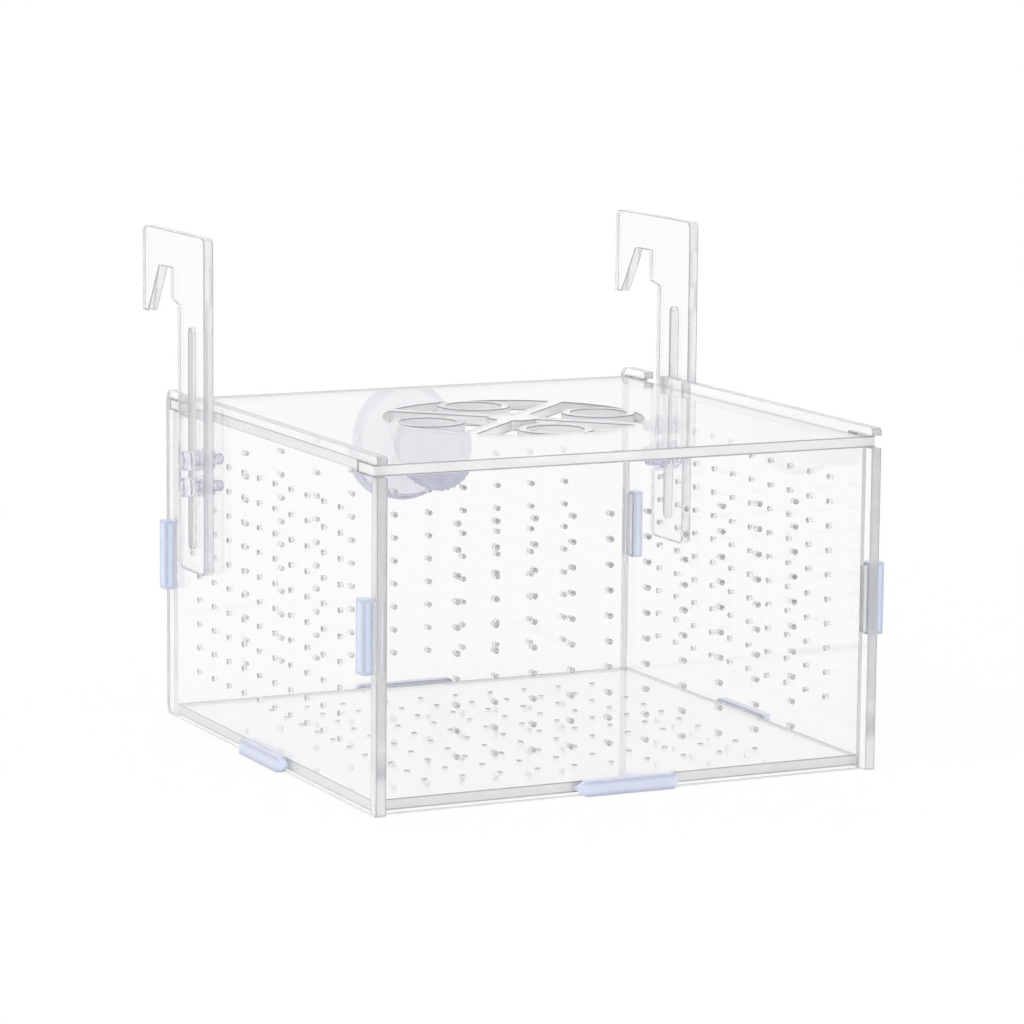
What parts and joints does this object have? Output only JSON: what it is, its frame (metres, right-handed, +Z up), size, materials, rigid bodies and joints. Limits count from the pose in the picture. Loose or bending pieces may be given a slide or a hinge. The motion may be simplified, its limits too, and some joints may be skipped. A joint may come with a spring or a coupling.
{
  "type": "fish breeding box",
  "caption": "Clear sheet box with vent holes, a sliding lid with a cut-out rosette, push-on caps, hooks for a tank's rim and a suction cup.",
  "frame": {"origin": "centre of the base panel's underside", "axes": "+X to the right, +Y to the back, where the suction cup is, +Z up"},
  "size_m": [0.1616, 0.1626, 0.1416],
  "materials": {
    "clear_sheet": "clear acrylic sheet with polished faces and laser-cut edges",
    "hook_sheet": "clear acrylic sheet with a lavender tint at its edges",
    "blue_cap": "soft translucent pale blue plastic",
    "bolt_plastic": "clear lavender nylon",
    "soft_cup": "clear soft vinyl with a lavender cast",
    "thumb_nut": "translucent violet blue plastic"
  },
  "bodies": {
    "box": {"left_side_panel": "clear_sheet", "right_side_panel": "clear_sheet", "front_panel": "clear_sheet", "back_panel": "clear_sheet", "base_panel": "clear_sheet", "cap_front_left": "blue_cap", "cap_back_left": "blue_cap", "cap_front_right": "blue_cap", "cap_back_right": "blue_cap", "cap_bottom_front": "blue_cap", "cap_bottom_back": "blue_cap", "cap_bottom_left": "blue_cap", "cap_bottom_right": "blue_cap", "left_upper_bolt": "bolt_plastic", "left_lower_bolt": "bolt_plastic", "right_upper_bolt": "bolt_plastic", "right_lower_bolt": "bolt_plastic"},
    "lid": {"lid": "clear_sheet"},
    "left_hook": {"left_hook": "hook_sheet"},
    "right_hook": {"right_hook": "hook_sheet"},
    "suction_cup": {"suction_cup": "soft_cup"},
    "suction_nut": {"suction_nut": "thumb_nut"},
    "left_upper_nut": {"left_upper_nut": "bolt_plastic"},
    "left_lower_nut": {"left_lower_nut": "bolt_plastic"},
    "right_upper_nut": {"right_upper_nut": "bolt_plastic"},
    "right_lower_nut": {"right_lower_nut": "bolt_plastic"}
  },
  "joints": [
    {"name": "lid_slide", "type": "slide", "parent": "box", "child": "lid", "axis": [0, -1, 0], "range_m": [0, 0.013]},
    {"name": "left_hook_slide", "type": "slide", "parent": "box", "child": "left_hook", "axis": [0, 0, 1], "range_m": [-0.036, 0.016]},
    {"name": "right_hook_slide", "type": "slide", "parent": "box", "child": "right_hook", "axis": [0, 0, 1], "range_m": [-0.036, 0.016]},
    {"name": "left_upper_nut_turn", "type": "hinge", "parent": "box", "child": "left_upper_nut", "pos_m": [-0.0707, 0.048, 0.0772], "axis": [1, 0, 0], "continuous": true},
    {"name": "left_lower_nut_turn", "type": "hinge", "parent": "box", "child": "left_lower_nut", "pos_m": [-0.0707, 0.048, 0.0696], "axis": [1, 0, 0], "continuous": true},
    {"name": "right_upper_nut_turn", "type": "hinge", "parent": "box", "child": "right_upper_nut", "pos_m": [0.0707, 0.048, 0.0772], "axis": [1, 0, 0], "continuous": true},
    {"name": "right_lower_nut_turn", "type": "hinge", "parent": "box", "child": "right_lower_nut", "pos_m": [0.0707, 0.048, 0.0696], "axis": [1, 0, 0], "continuous": true},
    {"name": "suction_cup_turn", "type": "hinge", "parent": "box", "child": "suction_cup", "pos_m": [0.0047, 0.0707, 0.0726], "axis": [0, 1, 0], "continuous": true},
    {"name": "suction_nut_turn", "type": "hinge", "parent": "suction_cup", "child": "suction_nut", "pos_m": [0.0047, 0.064, 0.0726], "axis": [0, 1, 0], "continuous": true}
  ]
}
